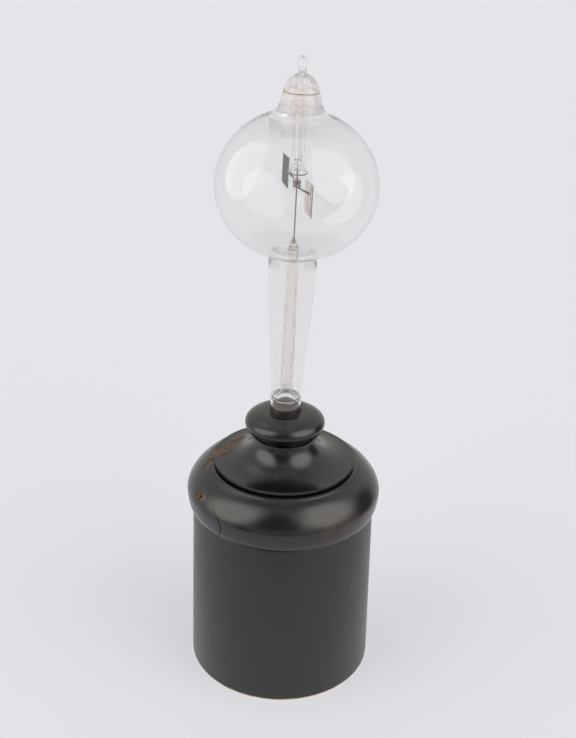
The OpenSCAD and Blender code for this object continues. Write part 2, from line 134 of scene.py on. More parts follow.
class GlassSettings(bpy.types.PropertyGroup):
    """Sizes and colours of the blown glass, measured up its leaning axis"""

    tube_d: length("Tube", "Outer diameter of the tube at the socket", 12.2)
    tail_wall: length("Tail wall", "Wall of the tube and the tail", 0.7)
    tube_depth: length("Tube depth", "Depth of the tube's end in the knob", 8)
    tube_straight_h: length("Straight tube", "Straight length above the knob", 8.5)
    tail_h: length("Tail", "Length of the tail from the knob to the bulb", 65.9)
    tail_top_d: length("Tail top", "Outer diameter of the tail below its flare", 18)
    tail_joint_d: length("Tail joint", "Outer diameter where the tail meets the bulb", 18.6)
    bulb_d: length("Bulb", "Diameter of the bulb", 60.4)
    bulb_h: length("Bulb height", "Height of the bulb as a whole spheroid", 55.3)
    bulb_wall: length("Bulb wall", "Wall of the bulb", 0.7)
    neck_joint_d: length("Neck joint", "Outer diameter where the neck meets the bulb", 21)
    neck_top_d: length("Neck top", "Outer diameter of the neck at its top", 13.2)
    neck_h: length("Neck", "Height of the neck", 7.7)
    neck_wall: length("Neck wall", "Wall of the neck", 0.8)
    weld_h: length("Weld", "Height of the amber weld line", 0.8)
    crown_d: length("Crown", "Outer diameter of the crown at the weld", 12.5)
    crown_h: length("Crown height", "Height of the crown", 5.7)
    crown_wall: length("Crown wall", "Wall of the crown", 0.7)
    pip_d: length("Pip", "Outer diameter of the seal pip", 3.2)
    pip_h: length("Pip height", "Height of the seal pip", 6.2)
    pip_dome_h: length("Pip dome", "Height of the pip's rounded end", 2.8)
    pip_bore_d: length("Pip bore", "Bore of the seal pip", 2)
    pinch_d: length("Pinch", "Outer diameter of the pinch under the pip", 2.9)
    pinch_bore_d: length("Pinch bore", "Bore of the pinch", 0.8)
    pinch_z: length("Pinch place", "Height of the pinch above the crown", 0.3)
    pip_low_z: length("Pip's low end", "Height above the crown where the pip has its full width", 1.2)
    guide_d: length("Guide tube", "Outer diameter of the guide tube", 4.5)
    guide_wall: length("Guide wall", "Wall of the guide tube", 0.5)
    guide_bore_d: length("Guide bore", "Bore of the guide tube above the cap", 1.3)
    guide_space_h: length("Guide space", "Height of the room for the cap above the bell's rim", 5.4)
    bell_d: length("Bell", "Outer diameter of the bell mouth", 7.4)
    bell_h: length("Bell height", "Height of the bell mouth", 3)
    bell_rim_z: length("Bell rim", "Height of the bell's rim above the bulb's centre", 4.6)
    stem_d: length("Stem", "Outer diameter of the stem", 5)
    stem_top_d: length("Stem top", "Outer diameter of the stem at its top", 3.8)
    stem_wall: length("Stem wall", "Wall of the stem", 0.6)
    stem_foot_z: length("Stem foot", "Height of the foot's rim above the knob", 5.4)
    stem_foot_h: length("Foot height", "Height of the flared foot", 5)
    foot_seal_h: length("Foot seal", "Height of the foot's sealed edge", 0.9)
    stem_top_z: length("Stem end", "Height of the stem's top above the bulb's bottom", 3)
    tip_h: length("Tip", "Height of the drawn-in tip", 5)
    tip_d: length("Tip end", "Diameter of the tip's rounded end", 1.6)
    nub_d: length("Nub", "Diameter of the two glass nubs", 1.3)
    nub_z: length("Upper nub", "Depth of the upper nub below the stem's top", 6)
    nub_step: length("Nub step", "Distance between the nubs", 4.4)
    clear: colour("Clear glass", "Tint of the blown glass", "#FBFBFA")
    stem_tint: colour("Stem glass", "Tint of the stem", "#FBF7F3")
    top_tint: colour("Top glass", "Tint of the neck and the crown", "#FCF9F4")
    amber: colour("Weld line", "Olive amber of the weld line", "#8F7A45")
    seal: colour("Seal lines", "Olive brown of the seals inside the tube", "#4E4027")
    cement: colour("Cement", "Brown of the sealing cement", "#1E1410")
    resin: colour("Cement's edge", "Orange brown where the cement thins out", "#553418")


class RotorSettings(bpy.types.PropertyGroup):
    """Sizes and colours of the needle, the cap, the arms and the vanes"""

    needle_d: length("Needle", "Diameter of the needle", 0.5)
    needle_point_h: length("Point", "Length of the needle's point", 3)
    needle_seat_h: length("Needle seat", "Depth of the needle in the stem's tip", 3)
    pivot_clear: length("Pivot gap", "Gap between the needle's point and the cap", 0.05)
    cap_d: length("Pivot cap", "Outer diameter of the glass cap", 2.4)
    cap_wall: length("Cap wall", "Wall of the cap", 0.4)
    cap_skirt_h: length("Cap skirt", "Length of the cap below the near arm", 0.3)
    cap_top_z: length("Cap top", "Height of the cap's top above the bulb's centre", 8.6)
    far_arm_z: length("Far arm", "Height of the far arm above the bulb's centre", 1.7)
    arm_lift: length("Arm lift", "How far the near arm's wires ride above its seat at the cap", 0.5)
    arm_rise: length("Arm rise", "How far the near arm's wires climb towards the vane", 1)
    near_arm_z: length("Near arm", "Height of the near arm below the bulb's centre", 0.8)
    wire_d: length("Arm seat", "Thickness of the packed arm that the wires of an arm stand for", 0.5)
    strand_d: length("Strand", "Diameter of each of the two twisted wires of an arm", 0.32)
    arm_tail: length("Arm tail", "How far an arm's twisted end stands out behind the cap", 2.9)
    cap_loop: length("Loop", "Half length of the eye that holds the cap", 2)
    vane_in_r: length("Vane place", "Distance from the axis to a vane's inner edge", 10)
    vane_w: length("Vane width", "Radial width of a vane with its folded edge", 8.8)
    vane_t: length("Foil", "Thickness of a vane's foil", 0.2)
    fold_w: length("Fold", "Width of the folded outer edge", 1.6)
    wire_lap: length("Wire lap", "Length of wire that lies on the vane", 5)
    arm_turn: angle("Arm turn", "Direction of the near arm", -72)
    foil: colour("Foil", "Dull foil of the vanes", "#D8CFD1")
    soot: colour("Lamp black", "Faded soot on the vanes' other faces", "#DAD6DE")
    wire: colour("Wire", "Dull olive brown arm wire", "#7A6A4C")
    steel: colour("Needle steel", "Steel of the needle", "#A8A8AC")


class StageSettings(bpy.types.PropertyGroup):
    """Camera, lights and floor"""

    lens: FloatProperty(name="Lens", description="Focal length", default=55.01, unit="CAMERA")
    camera_side: length("Camera side", "Place of the camera along X", 0.66)
    camera_back: length("Camera distance", "Distance of the camera in front of the base", 399.55)
    camera_up: length("Camera height", "Height of the camera above the floor", 322.24)
    camera_pitch: angle("Pitch", "Downward tilt of the camera", 25.317)
    camera_roll: angle("Roll", "Roll of the camera", 1.5)
    warmth: colour("Warmth", "Tint of the studio light", "#FFFCF6")
    backdrop: colour("Backdrop", "Tone of the floor and of what lies behind it", "#E6E5EA")
    floor_albedo: level("Floor's white", "Share of the light the floor sends back", 0.35)
    floor_glow: level("Floor's glow", "Share of its tone that the lit sweep gives by itself", 0.56)
    pale_light: level("Pale walls", "Brightness all round", 0.74)
    top_light: level("Overhead", "Brightness overhead", 0.42)
    left_light: level("Left box", "Brightness of the left soft box", 2.5)
    right_light: level("Right box", "Brightness of the right soft box", 2.55)
    dark_light: level("Camera side", "Brightness between the soft boxes", 0.15)
    glass_low: level("Least in glass", "Least brightness seen by clear glass", 0.7)
    glass_high: level("Most in glass", "Most brightness seen by clear glass", 1.7)


class LightMillSettings(bpy.types.PropertyGroup):
    """All settings of the light mill"""

    wood: PointerProperty(type=WoodSettings)
    glass: PointerProperty(type=GlassSettings)
    rotor: PointerProperty(type=RotorSettings)
    stage: PointerProperty(type=StageSettings)
    turn_steps: IntProperty(name="Turn steps", description="Steps round a glass piece", default=160, min=32)


# Outlines and meshes

def along(steps, point):
    """The points that a function gives from 0 to 1, in equal steps."""
    return [point(step / steps) for step in range(steps + 1)]


def quarter(start, end, power=2.0, steps=16):
    """Quarter of an ellipse between two (radius, height) points, upright at its start, flat at its end."""
    def point(t):
        across = max(math.cos(math.pi / 2 * t), 0.0) ** (2 / power)
        up = math.sin(math.pi / 2 * t) ** (2 / power)
        return end[0] + (start[0] - end[0]) * across, start[1] + (end[1] - start[1]) * up
    return along(steps, point)


def eased(before, after, reach, steps=8):
    """Two lines of (radius, height) points that meet at a corner, joined by a curve of this reach."""
    corner = Vector(before[-1])
    start = [Vector(p) for p in before if (Vector(p) - corner).length > reach]
    end = [Vector(p) for p in after if (Vector(p) - corner).length > reach]
    first = corner + (start[-1] - corner).normalized() * reach
    last = corner + (end[0] - corner).normalized() * reach
    curve = along(steps, lambda t: first * (1 - t) ** 2 + corner * 2 * t * (1 - t) + last * t * t)
    return [tuple(p) for p in start + curve + end]


def rounded(corners, radius, segments=4):
    """The outline through these (radius, height) corners, with each corner inside it rounded."""
    wire = bmesh.new()
    verts = [wire.verts.new((r, 0, z)) for r, z in corners]
    for pair in zip(verts, verts[1:]):
        wire.edges.new(pair)
    bmesh.ops.bevel(wire, geom=verts[1:-1], offset=radius, segments=segments, profile=0.5,
                    affect="VERTICES", material=-1)
    wire.verts.ensure_lookup_table()
    first = min(wire.verts, key=lambda v: (v.co - Vector((corners[0][0], 0, corners[0][1]))).length)
    chain, edge = [first], first.link_edges[0]
    while edge:
        chain.append(edge.other_vert(chain[-1]))
        edge = next((e for e in chain[-1].link_edges if e is not edge), None)
    points = [(v.co.x, v.co.z) for v in chain]
    wire.free()
    return points


def new_mesh(name, bm, *materials):
    """A mesh with the faces of bm, which is freed, and with these materials."""
    mesh = bpy.data.meshes.new(name)
    bm.to_mesh(mesh)
    bm.free()
    for material in materials:
        mesh.materials.append(material)
    return mesh


def new_object(name, data):
    """An object with this data, linked into the scene."""
    made = bpy.data.objects.new(name, data)
    bpy.context.scene.collection.objects.link(made)
    return made


def shade(mesh):
    """Shades a mesh smooth, with its real edges sharp."""
    mesh.shade_smooth()
    mesh.set_sharp_from_angle(angle=SHARP_EDGE)


def add_skin(bm, skin):
    """Moves a skin's faces into the mesh."""
    copy = new_mesh("skin", skin)
    bm.from_mesh(copy)
    bpy.data.meshes.remove(copy)


def turn(outline, steps, bm=None):
    """Spins an open outline of (radius, height) points into a closed skin, faces outward, in this mesh or
    in a new one."""
    skin = bmesh.new()
    verts = [skin.verts.new((r, 0, z)) for r, z in outline]
    edges = [skin.edges.new(pair) for pair in zip(verts, verts[1:])]
    bmesh.ops.spin(skin, geom=verts + edges, cent=(0, 0, 0), axis=(0, 0, 1), angle=math.tau,
                   steps=steps, use_merge=True)
    bmesh.ops.remove_doubles(skin, verts=skin.verts, dist=SAME_SPOT)
    bmesh.ops.recalc_face_normals(skin, faces=skin.faces)
    bm = bm or bmesh.new()
    add_skin(bm, skin)
    return bm


def hoop(bm, radius, height, half, steps):
    """Adds a thin round ring about the axis to the mesh."""
    section = [(radius + half * math.cos(math.tau * i / 12), height + half * math.sin(math.tau * i / 12))
               for i in range(12)]
    turn(section + section[:1], steps, bm)


def finish_piece(bm, name, materials, nodes, body="stand", leaning=True):
    """Makes the piece, leans it with the glass, and lets it stand for its CAD nodes."""
    if leaning:
        bm.transform(LEANING)
    mesh = new_mesh(name, bm, *materials)
    shade(mesh)
    piece = new_object(name, mesh)
    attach(piece, body)
    if nodes:
        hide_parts(*nodes)
    return piece


# Materials

def linear(hex_code):
    """An sRGB hex value as a linear colour with full alpha."""
    levels = [int(hex_code[i:i + 2], 16) / 255 for i in (1, 3, 5)]
    return tuple(v / 12.92 if v <= 0.04045 else ((v + 0.055) / 1.055) ** 2.4 for v in levels) + (1.0,)


def add_node(tree, kind, inputs=None, output=None, **settings):
    """Adds a node with its settings, fills its inputs with values or links, and gives its output of this
    name, or else its first one."""
    node = tree.nodes.new("ShaderNode" + kind)
    for name, value in settings.items():
        setattr(node, name, value)
    for name, value in (inputs or {}).items():
        if isinstance(value, bpy.types.NodeSocket):
            tree.links.new(value, node.inputs[name])
        else:
            node.inputs[name].default_value = value
    return node.outputs[output] if output else next((each for each in node.outputs if each.enabled), None)


def once(name, finish, *values):
    """The material of this name. On its first use it is made, and finish adds its nodes and gives its
    shader."""
    material = bpy.data.materials.get(name)
    if not material:
        material = bpy.data.materials.new(name)
        material.use_nodes = True
        material.node_tree.nodes.clear()
        add = partial(add_node, material.node_tree)
        add("OutputMaterial", {"Surface": finish(add, *values)})
    return material


def per(millimetres):
    """Repeats to the metre of a pattern with this spacing."""
    return 1 / (millimetres * MM)


def ebonised_wood(add, wood, rings, spots):
    """Pear wood stained black and polished by hand: a deep satin black in which the turning shows as
    fine rings, brown at the rubbed rings (radius, height) and the rubbed spots, each with its reach,
    in mm."""
    place = add("TexCoord", output="Object")
    height = add("SeparateXYZ", {"Vector": place}, "Z")
    level = add("VectorMath", {0: place, 1: (1, 1, 0)}, operation="MULTIPLY")
    radius = add("VectorMath", {0: level}, operation="LENGTH")
    heading = add("VectorMath", {0: level}, operation="NORMALIZE")
    # Tool and cloth marks run round the turning, 0.35 mm apart and fading every third of the way round
    climb = add("Math", {0: radius, 1: 0.7, 2: height}, operation="MULTIPLY_ADD")
    thread = add("Math", {0: climb, 1: per(0.35)}, operation="MULTIPLY")
    thread = add("CombineXYZ", {"Z": thread})
    round_way = add("VectorMath", {0: heading, 1: (3, 3, 3), 2: thread}, operation="MULTIPLY_ADD")
    turning = add("TexNoise", {"Vector": round_way, "Scale": 1.0, "Detail": 3.0, "Roughness": 0.6})
    # Fibres of the grain up the wood, drawn 0.5 mm wide where the real ones are 0.1 mm, so that they show
    fibres = add("Mapping", {"Vector": place, "Scale": (per(0.5), per(0.5), per(25))})
    grain = add("TexNoise", {"Vector": fibres, "Scale": 1.0, "Detail": 4.0, "Roughness": 0.6})
    patches = add("TexNoise", {"Vector": place, "Scale": per(12), "Detail": 5.0})
    crumbs = add("TexNoise", {"Vector": place, "Scale": per(3), "Detail": 5.0})
    tint = add("Mix", {"Factor": grain, "A": linear(wood.stain), "B": linear("#141110")}, data_type="RGBA")
    side = add("CombineXYZ", {"X": radius, "Z": height})
    places = [(side, (ring_r, 0, ring_z), reach, 1.0, "LINEAR") for ring_r, ring_z, reach in rings]
    places += [(place, spot, reach, 0.8, "SMOOTHSTEP") for spot, reach in spots]
    rub = 0.0
    for where, centre, reach, most, fade in places:
        far = add("VectorMath", {0: where, 1: [c * MM for c in centre]}, operation="DISTANCE")
        near = add("MapRange", {"Value": far, "From Max": reach * MM, "To Min": most, "To Max": 0.0},
                        interpolation_type=fade)
        rub = add("Math", {0: near, 1: rub}, operation="MAXIMUM")
    broken = add("Math", {0: rub, 1: crumbs}, operation="MULTIPLY")
    broken = add("MapRange", {"Value": broken, "From Min": 0.05, "From Max": 0.6, "To Max": 0.6})
    # The foot's edge is worn through to the pale wood, with a brown line above it
    edge = add("Math", {0: crumbs, 1: -0.5 * MM, 2: height}, operation="MULTIPLY_ADD")
    foot_z = wood.worn_foot_h
    brown, pale = [add("MapRange", {"Value": edge, "From Min": low, "From Max": high,
                                               "To Min": 1.0, "To Max": 0.0})
                   for low, high in ((foot_z, foot_z + 0.5 * MM), (foot_z - 0.4 * MM, foot_z))]
    for share, code in ((broken, wood.rubbed), (brown, "#4C3620"), (pale, wood.foot_edge)):
        tint = add("Mix", {"Factor": share, "A": tint, "B": linear(code)}, data_type="RGBA")
    gloss = add("MapRange", {"Value": patches, "From Min": 0.3, "From Max": 0.7,
                                        "To Min": 0.13, "To Max": 0.2})
    # The drum is less polished than what stands on it
    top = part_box("base_drum")[1].z
    dull = add("MapRange", {"Value": height, "From Min": top - 0.1 * MM, "From Max": top + 0.1 * MM,
                                       "To Min": 0.13, "To Max": 0.0})
    cloudy = add("Math", {0: gloss, 1: dull}, operation="ADD")
    streaked = add("Math", {0: turning, 1: 0.1, 2: cloudy}, operation="MULTIPLY_ADD")
    uneven = add("Math", {0: grain, 1: 0.6, 2: turning}, operation="MULTIPLY_ADD")
    bump = add("Bump", {"Height": uneven, "Strength": 0.16, "Distance": 0.03 * MM})
    return add("BsdfPrincipled", {"Base Color": tint, "Roughness": streaked, "IOR": 1.62, "Normal": bump})


def broken_wood(add, light, dark):
    """Pear wood where the stained skin has split off: dull, dry fibres that run up the grain."""
    place = add("TexCoord", output="Object")
    # Fibres drawn 0.4 mm wide and 3 mm long
    fibres = add("Mapping", {"Vector": place, "Scale": (per(0.4), per(1.2), per(3))})
    grain = add("TexNoise", {"Vector": fibres, "Scale": 1.0, "Detail": 5.0, "Roughness": 0.7})
    spread = add("MapRange", {"Value": grain, "From Min": 0.35, "From Max": 0.65})
    tint = add("Mix", {"Factor": spread, "A": linear(dark), "B": linear(light)}, data_type="RGBA")
    bump = add("Bump", {"Height": grain, "Strength": 0.6, "Distance": 0.15 * MM})
    return add("BsdfPrincipled", {"Base Color": tint, "Roughness": 0.8, "Normal": bump})


def through_lamps(add, shader):
    """Finishes a glass so that it casts next to no shadow."""
    clear = add("BsdfTransparent", {"Color": (0.97, 0.97, 0.97, 1.0)})
    shadow = add("LightPath", output="Is Shadow Ray")
    return add("MixShader", {0: shadow, 1: shader, 2: clear})


def blown_glass(add, glass):
    """Soda glass, blown and fire-polished: water-clear, with a warmer tint in the neck. Near its joints
    part of the light goes straight through, which keeps their outlines as faint as real ones are. Light
    from the lamps passes it, so that what stands inside is lit."""
    at = GlassPlaces(glass)
    place = add("TexCoord", output="Object")
    height = add("SeparateXYZ", {"Vector": place}, "Z")
    neck_z, weld_z, crown_z = KNOB_TOP + at.neck, KNOB_TOP + at.weld, KNOB_TOP + at.crown
    neck = add("MapRange", {"Value": height, "From Min": neck_z - 7 * MM, "From Max": neck_z + 1 * MM},
                    interpolation_type="SMOOTHSTEP")
    above = add("Math", {0: height, 1: KNOB_TOP + glass.tail_h}, operation="SUBTRACT")
    away = add("Math", {0: above}, operation="ABSOLUTE")
    joint = add("MapRange", {"Value": away, "From Max": 6 * MM, "To Min": 1.0, "To Max": 0.0},
                     interpolation_type="SMOOTHSTEP")
    thin = add("Math", {0: neck, 1: joint}, operation="MAXIMUM")
    solid = add("MapRange", {"Value": thin, "To Min": 1.0, "To Max": 0.68})
    below = add("MapRange", {"Value": height, "From Min": weld_z, "From Max": crown_z + 1 * MM,
                                        "To Min": 1.0, "To Max": 0.25})
    warm = add("Math", {0: neck, 1: below}, operation="MULTIPLY")
    tint = add("Mix", {"Factor": warm, "A": linear(glass.clear), "B": linear(glass.top_tint)},
                    data_type="RGBA")
    return through_lamps(add, add("BsdfPrincipled", {
        "Base Color": tint, "Roughness": 0.0, "IOR": 1.5, "Transmission Weight": 1.0, "Alpha": solid}))


def stem_glass(add, glass):
    """Drawn glass tube of the stem: the same soda glass with a pinkish beige tint."""
    return through_lamps(add, add("BsdfPrincipled", {
        "Base Color": linear(glass.stem_tint), "Roughness": 0.0, "IOR": 1.5, "Transmission Weight": 1.0,
        "Alpha": 0.75}))


def seal_stain(add, tint, cover):
    """Oxide stain in a fused seam: a film that tints what shows through it, thicker seen along its line."""
    place = add("TexCoord", output="Object")
    clouds = add("TexNoise", {"Vector": place, "Scale": per(2.5), "Detail": 3.0})
    film = add("MapRange", {"Value": clouds, "From Min": 0.3, "From Max": 0.7,
                                       "To Min": 0.5 * cover, "To Max": 1.3 * cover})
    return add("BsdfPrincipled", {"Base Color": linear(tint), "Roughness": 0.4, "Alpha": film})


def sealing_cement(add, glass):
    """Old resin cement, melted into the socket: near-black brown and half glossy, orange where it thins
    out against the glass."""
    place = add("TexCoord", output="Object")
    lumps = add("TexNoise", {"Vector": place, "Scale": per(1.2), "Detail": 4.0})
    thin = add("MapRange", {"Value": lumps, "From Min": 0.56, "From Max": 0.75})
    tint = add("Mix", {"Factor": thin, "A": linear(glass.cement), "B": linear(glass.resin)}, data_type="RGBA")
    bump = add("Bump", {"Height": lumps, "Strength": 0.4, "Distance": 0.1 * MM})
    return add("BsdfPrincipled", {"Base Color": tint, "Roughness": 0.4, "Normal": bump})


def dull_metal(add, tint, dark, roughness, spacing):
    """Drawn or rolled metal gone dull: a metal's shine, clouded by a skin of oxide in small patches."""
    place = add("TexCoord", output="Object")
    skin = add("TexNoise", {"Vector": place, "Scale": per(spacing), "Detail": 4.0})
    colours = add("Mix", {"Factor": skin, "A": linear(tint), "B": linear(dark)}, data_type="RGBA")
    return add("BsdfPrincipled", {"Base Color": colours, "Roughness": roughness, "Metallic": 1.0})


def dull_foil(add, rotor):
    """Thin rolled foil gone dull: a soft pinkish grey shine, with painted shade as faint darker stripes along
    the creases up the vane and on the folded edge.
    """
    place = add("TexCoord", output="Object")
    # Creases about 0.9 mm apart that run the height of the vane: their bump, and painted shade that darkens
    # them
    creases = add("Mapping", {"Vector": place, "Scale": (per(0.9), per(0.9), per(9))})
    crease_bump_and_shade = add("TexNoise", {"Vector": creases, "Scale": 1.0, "Detail": 3.0})
    spread = add("MapRange", {"Value": crease_bump_and_shade, "From Min": 0.45, "From Max": 0.7})
    # Painted shade on the folded outer edge, which turns away from the light: darker beyond its radius about
    # the rotor's axis
    hub = SPIN_JOINT["pos_m"]
    level = add("VectorMath", {0: place, 1: (1, 1, 0)}, operation="MULTIPLY")
    reach = add("VectorMath", {0: level, 1: (hub[0], hub[1], 0)}, operation="DISTANCE")
    fold_r = rotor.vane_in_r + rotor.vane_w - rotor.fold_w
    fold_shade = add("MapRange", {"Value": reach, "From Min": fold_r, "From Max": fold_r + 0.3 * MM,
                                       "To Max": 0.75})
    tint = linear(rotor.foil)
    # Both darker tones are painted shade: along the creases and on the fold
    for share, code in ((spread, "#8E8484"), (fold_shade, "#6B6362")):
        tint = add("Mix", {"Factor": share, "A": tint, "B": linear(code)}, data_type="RGBA")
    bump = add("Bump", {"Height": crease_bump_and_shade, "Strength": 0.3, "Distance": 0.1 * MM})
    return add("BsdfPrincipled", {"Base Color": tint, "Roughness": 0.45, "Metallic": 0.5, "Normal": bump})


def lamp_black(add, rotor):
    """Soot from a flame, faded to a thin lavender grey film through which the foil still shines, browner
    where it has thinned in clouds."""
    place = add("TexCoord", output="Object")
    clouds = add("TexNoise", {"Vector": place, "Scale": per(3), "Detail": 5.0})
    spread = add("MapRange", {"Value": clouds, "From Min": 0.4, "From Max": 0.65})
    tint = add("Mix", {"Factor": spread, "A": linear(rotor.soot), "B": linear("#B8AEA8")}, data_type="RGBA")
    return add("BsdfPrincipled", {"Base Color": tint, "Roughness": 0.5, "Metallic": 1.0})


def studio_floor(add, stage):
    """Matt white paper sweep, lit through so that shadows on it stay pale."""
    tone = linear(stage.backdrop)
    white = [t / w for t, w in zip(tone[:3], linear(stage.warmth))]
    white = [c / max(white) * stage.floor_albedo for c in white] + [1.0]
    return add("BsdfPrincipled", {"Base Color": white, "Roughness": 0.9, "Specular IOR Level": 0.1,
                                             "Emission Color": tone, "Emission Strength": stage.floor_glow})


def settings():
    """The light mill's settings in this scene."""
    return bpy.context.scene.light_mill


# Wooden base

def base_seats(wood):
    """Heights of the base's seats: moulding, pedestal, groove and knob."""
    drum_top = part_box("base_drum")[1].z
    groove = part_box("pedestal")[1].z
    return drum_top, drum_top + wood.moulding_h, groove, groove + wood.groove_h


def finish_wood(bm, name, node):
    """Makes a wooden piece, rubbed brown along the scored ring and on the moulding's right side."""
    wood = settings().wood
    _, pedestal_z, _, _ = base_seats(wood)
    rings = [(wood.score_r / MM + 0.3, pedestal_z / MM - 0.7, 0.4)]
    spots = [((18.4, -34.7, 81.5), 6), ((25, -30, 79.5), 6), ((32.5, -22.4, 80.5), 5)]
    stained = once("ebonised_pear_wood", ebonised_wood, wood, rings, spots)
    return finish_piece(bm, name, [stained], [node], leaning=False)


def scored(outline, radius, width, depth):
    """The (radius, height) outline with a V-shaped ring cut down into it."""
    spots = [p for p in outline if abs(p[0] - radius) > width / 2]
    first = next(i for i, p in enumerate(spots) if p[0] < radius and i and p[1] > depth)
    before, after = Vector(spots[first - 1]), Vector(spots[first])
    cut = []
    for at, drop in ((radius + width / 2, 0), (radius, depth), (radius - width / 2, 0)):
        here = before.lerp(after, (before.x - at) / (before.x - after.x))
        cut.append((at, here.y - drop))
    return spots[:first] + cut + spots[first:]


def gouge(piece, path, depth, material, tilt):
    """Cuts a hollow along a path of (x, y, z, width) in mm that lies on the piece: rings across the path,
    bridged into a cutter, whose material stays on the walls of the hollow."""
    surface = BVHTree.FromObject(piece, bpy.context.evaluated_depsgraph_get())
    hits = [surface.find_nearest(Vector(point[:3]) * MM) for point in path]
    bm = bmesh.new()
    rings = []
    for index, (spot, normal, _, _) in enumerate(hits):
        ahead = (hits[min(index + 1, len(hits) - 1)][0] - hits[max(index - 1, 0)][0]).normalized()
        across = normal.cross(ahead).normalized()
        up = ahead.cross(across)
        wide = (across * math.cos(tilt) + up * math.sin(tilt)) * path[index][3] * MM / 2
        deep = (up * math.cos(tilt) - across * math.sin(tilt)) * depth * MM
        place = Matrix.Translation(spot) @ Matrix((wide, deep, ahead)).transposed().to_4x4()
        ring = bmesh.ops.create_circle(bm, cap_ends=False, segments=16, radius=1.0, matrix=place)["verts"]
        rings.append(list({edge for vert in ring for edge in vert.link_edges}))
    for one, other in zip(rings, rings[1:]):
        bmesh.ops.bridge_loops(bm, edges=one + other)
    bmesh.ops.holes_fill(bm, edges=[edge for edge in bm.edges if edge.is_boundary])
    bmesh.ops.recalc_face_normals(bm, faces=bm.faces)
    mesh = new_mesh("cutter", bm, material)
    cutter = new_object("cutter", mesh)
    cut = piece.modifiers.new("cut", "BOOLEAN")
    cut.operation, cut.solver, cut.material_mode, cut.object = "DIFFERENCE", "EXACT", "TRANSFER", cutter
    whole = piece.data
    piece.data = bpy.data.meshes.new_from_object(piece.evaluated_get(bpy.context.evaluated_depsgraph_get()))
    piece.modifiers.clear()
    shade(piece.data)
    bpy.data.objects.remove(cutter)
    for old in (whole, mesh):
        bpy.data.meshes.remove(old)


# Marks of wear, each with its wood, depth, tilt and path of (x, y, z, width), in mm. The split marks are
# cracks whose near-black walls are painted shade
MOULDING_MARKS = [
    ("bare_pear_wood", 0.6, 0.0, [
        (-34.9, -16.2, 84.2, 0.6), (-34.2, -17.0, 84.8, 2.2), (-33.0, -18.4, 85.4, 3.0),
        (-31.6, -19.8, 85.6, 3.2), (-30.4, -20.9, 85.7, 2.2), (-29.9, -21.6, 85.6, 0.5)]),
    ("split_wood_painted_shade", 0.9, 0.0, [
        (-33.7, -18.4, 84.6, 0.5), (-33.1, -18.4, 85.4, 1.3), (-32.6, -17.9, 86.3, 0.4)]),
    ("split_wood_painted_shade", 1.0, 0.0, [
        (-27.3, -26.2, 85.0, 0.15), (-26.0, -28.6, 83.6, 0.2), (-25.1, -29.9, 82.5, 0.35),
        (-24.5, -30.7, 81.2, 0.5), (-24.0, -31.1, 79.9, 0.55), (-23.9, -31.0, 78.0, 0.5),
        (-24.2, -30.3, 76.0, 0.35), (-24.7, -28.9, 73.9, 0.2)]),
    ("bare_pear_wood", 0.6, 0.12, [
        (-28.2, -0.2, 91.9, 1.6), (-29.4, -1.0, 91.8, 3.2), (-30.6, -3.2, 91.4, 3.6),
        (-31.3, -5.2, 91.0, 3.2), (-31.9, -6.6, 90.5, 1.2)]),
]
PEDESTAL_MARKS = [
    ("bare_pear_wood", 0.45, -0.12, [
        (-17.0, 14.4, 95.2, 0.8), (-18.6, 11.0, 95.1, 4.2), (-20.6, 7.6, 95.1, 6.2), (-22.4, 5.6, 94.7, 6.4),
        (-24.2, 3.9, 94.4, 6.2), (-25.8, 2.4, 94.1, 5.6), (-27.2, 1.4, 93.9, 5.0), (-28.0, -1.5, 93.7, 2.6)]),
    ("split_wood_painted_shade", 0.7, 0.0, [
        (-15.6, 14.3, 95.4, 0.1), (-17.2, 8.6, 96.0, 0.35), (-18.7, 4.2, 96.0, 0.4), (-21.3, 1.2, 95.0, 0.4),
        (-24.0, -0.4, 94.4, 0.4), (-27.0, -2.4, 93.9, 0.2)]),
]


def wear(piece, marks):
    """Cuts these marks of wear into a wooden piece."""
    # The split marks' near-black walls are painted shade deep inside the cracks; the bare marks keep the
    # wood's own brown
    tints = {"bare_pear_wood": (settings().wood.bare, "#3E2C22"), "split_wood_painted_shade": ("#2A1B13", "#0C0806")}
    for name, depth, tilt, path in marks:
        gouge(piece, path, depth, once(name, broken_wood, *tints[name]), tilt)


class LIGHTMILL_OT_drum(bpy.types.Operator):
    """Turn the drum of the base, with its dished underside and its worn foot"""

    bl_idname = "light_mill.drum"
    bl_label = "Drum"

    def execute(self, context):
        wood = settings().wood
        foot_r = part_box("base_drum")[1].x
        drum_top = base_seats(wood)[0]
        dish_r = foot_r - wood.foot_ring_w
        corners = [(0, wood.dish_h), (dish_r, wood.dish_h), (dish_r, 0), (foot_r, 0),
                   (wood.drum_top_d / 2, drum_top), (0, drum_top)]
        bm = turn(rounded(corners, wood.drum_edge_r), WOOD_STEPS)
        finish_wood(bm, "drum", "base_drum")
        return {"FINISHED"}


